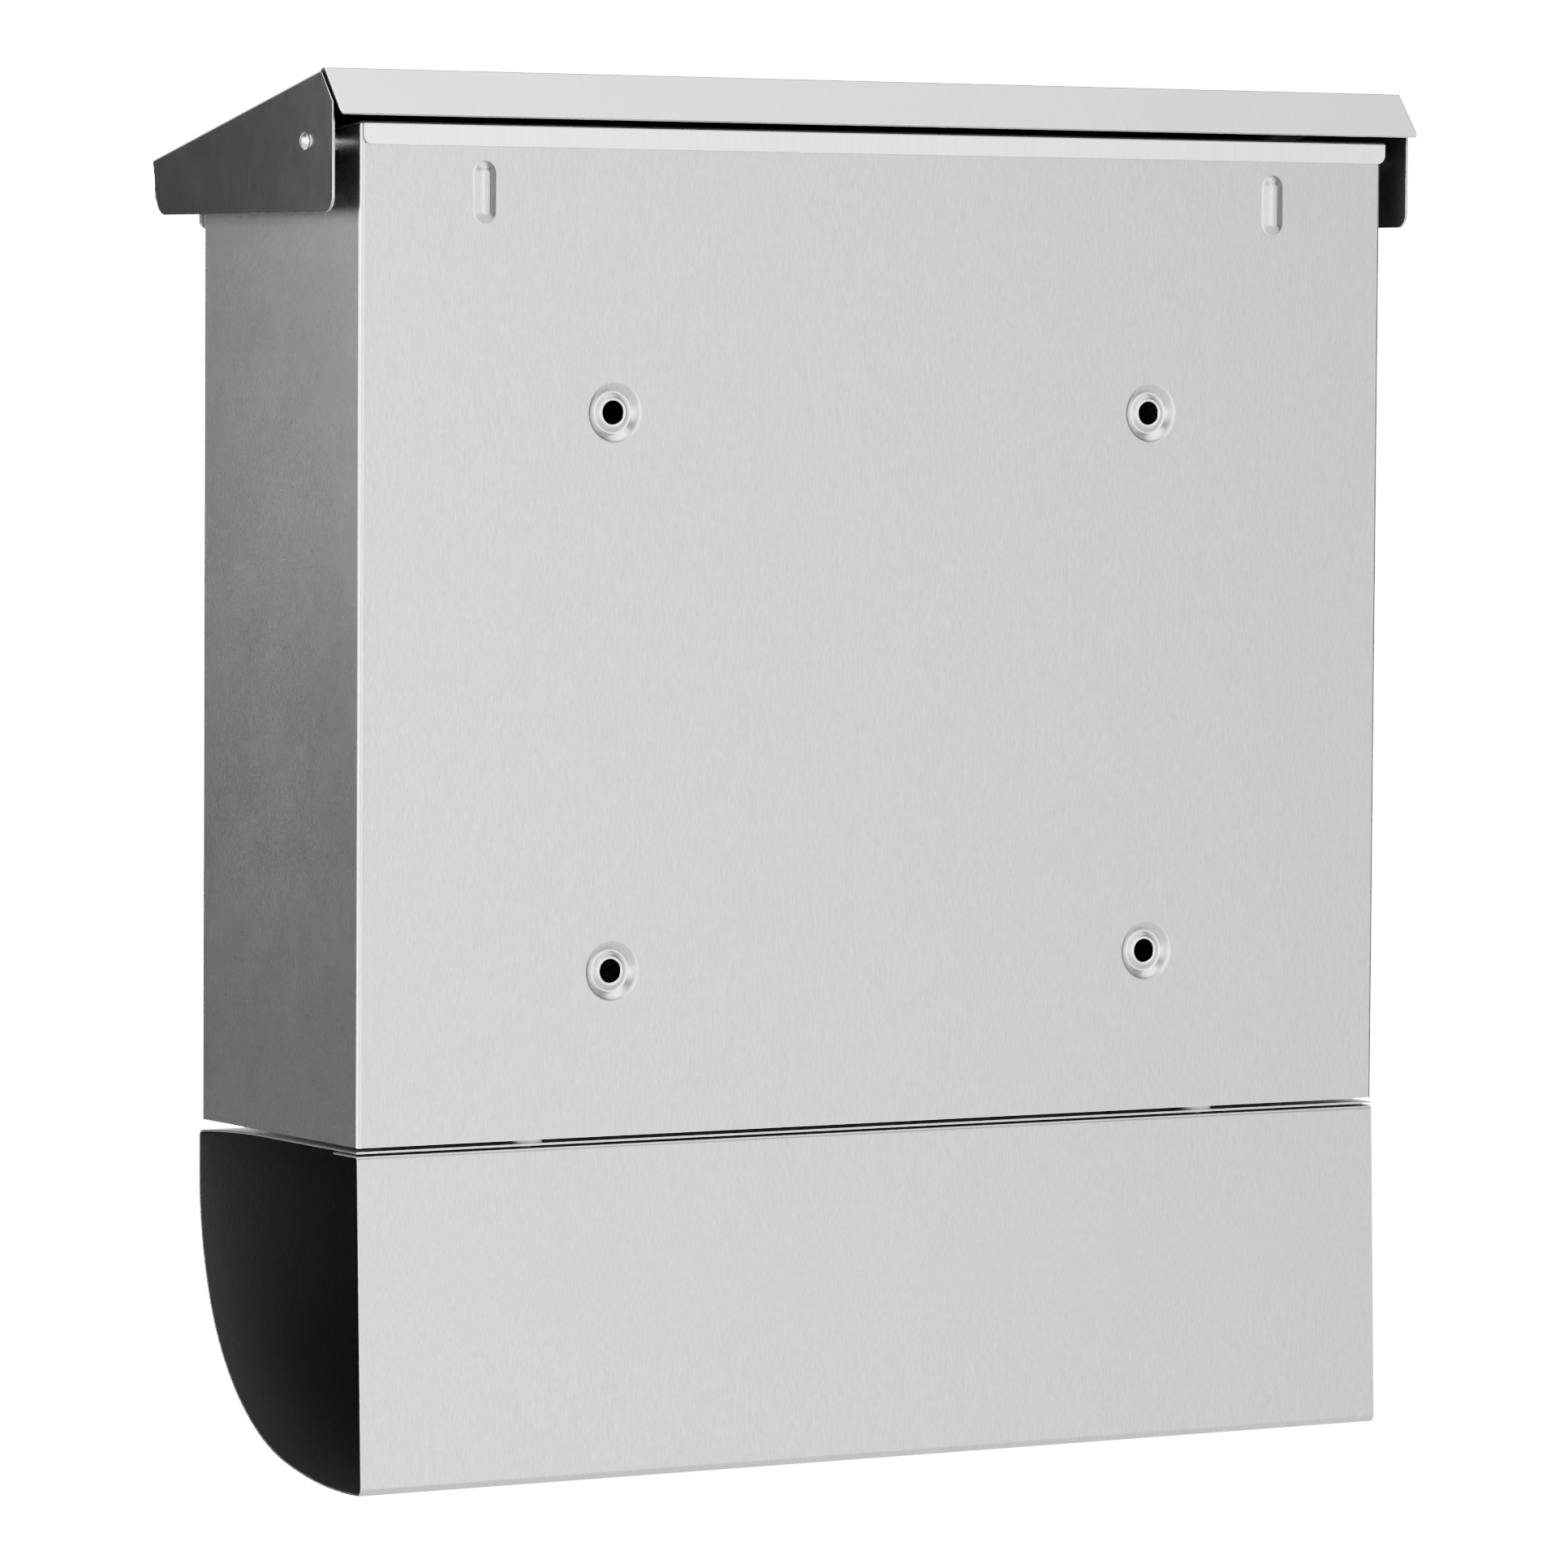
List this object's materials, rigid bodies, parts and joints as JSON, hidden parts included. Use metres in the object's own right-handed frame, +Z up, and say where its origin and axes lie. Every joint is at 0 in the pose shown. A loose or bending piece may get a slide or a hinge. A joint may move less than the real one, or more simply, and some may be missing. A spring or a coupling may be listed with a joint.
{
  "type": "wall mounted mailbox",
  "caption": "Wall mounted mailbox of brushed stainless sheet with a hinged roof lid, a lockable front door and an open newspaper tube below.",
  "frame": {"origin": "centre of the four wall holes, level with the rims of the holes, 1 mm inside the outer plane of the back sheet", "axes": "+X to the right as seen from the front, +Y towards the wall, +Z up"},
  "size_m": [0.3856, 0.1254, 0.4211],
  "materials": {
    "stainless": "brushed, fine vertical grain",
    "stainless_hardware": "plain bright stainless fasteners",
    "rubber": "matt black rubber",
    "nylon": "natural nylon",
    "clear_plastic": "clear acrylic",
    "card": "blank white card",
    "lock_chrome": "polished nickel plate",
    "lock_brass": "plain brass"
  },
  "bodies": {
    "housing": {"body_shell": "stainless", "bottom_panel": "stainless", "door_lintel": "stainless", "top_frame": "stainless", "frame_rivets": "stainless_hardware", "mail_guard": "stainless", "lid_buffers": "rubber", "hinge_pin_lower": "stainless_hardware", "hinge_pin_upper": "stainless_hardware", "hinge_washer": "nylon", "lock_strike": "stainless", "door_stops": "stainless", "pivot_pin_left": "stainless_hardware", "pivot_pin_right": "stainless_hardware", "pivot_spacer_left": "stainless_hardware", "pivot_spacer_right": "stainless_hardware", "newspaper_tube": "stainless", "tube_screws": "stainless_hardware", "tube_washers": "nylon", "tube_nuts": "stainless_hardware"},
    "lid": {"lid_cover": "stainless"},
    "door": {"door_panel": "stainless", "sight_pane": "clear_plastic", "pane_rivets": "stainless_hardware", "name_frame": "stainless_hardware", "name_cover": "clear_plastic", "name_card": "card", "lock_housing": "lock_chrome", "lock_nut": "lock_chrome"},
    "lock_cylinder": {"lock_plug": "lock_brass", "lock_cam": "stainless_hardware", "cam_screw": "stainless_hardware"}
  },
  "joints": [
    {"name": "lid_hinge", "type": "hinge", "parent": "housing", "child": "lid", "pos_m": [0, -0.0153, 0.16315], "axis": [-1, 0, 0], "range_deg": [0, 57]},
    {"name": "door_hinge", "type": "hinge", "parent": "housing", "child": "door", "pos_m": [-0.163, -0.0965, 0], "axis": [0, 0, -1], "range_deg": [0, 100]},
    {"name": "lock_turn", "type": "hinge", "parent": "door", "child": "lock_cylinder", "pos_m": [0.15, -0.083, 0.00685], "axis": [0, 1, 0], "range_deg": [0, 90]}
  ]
}
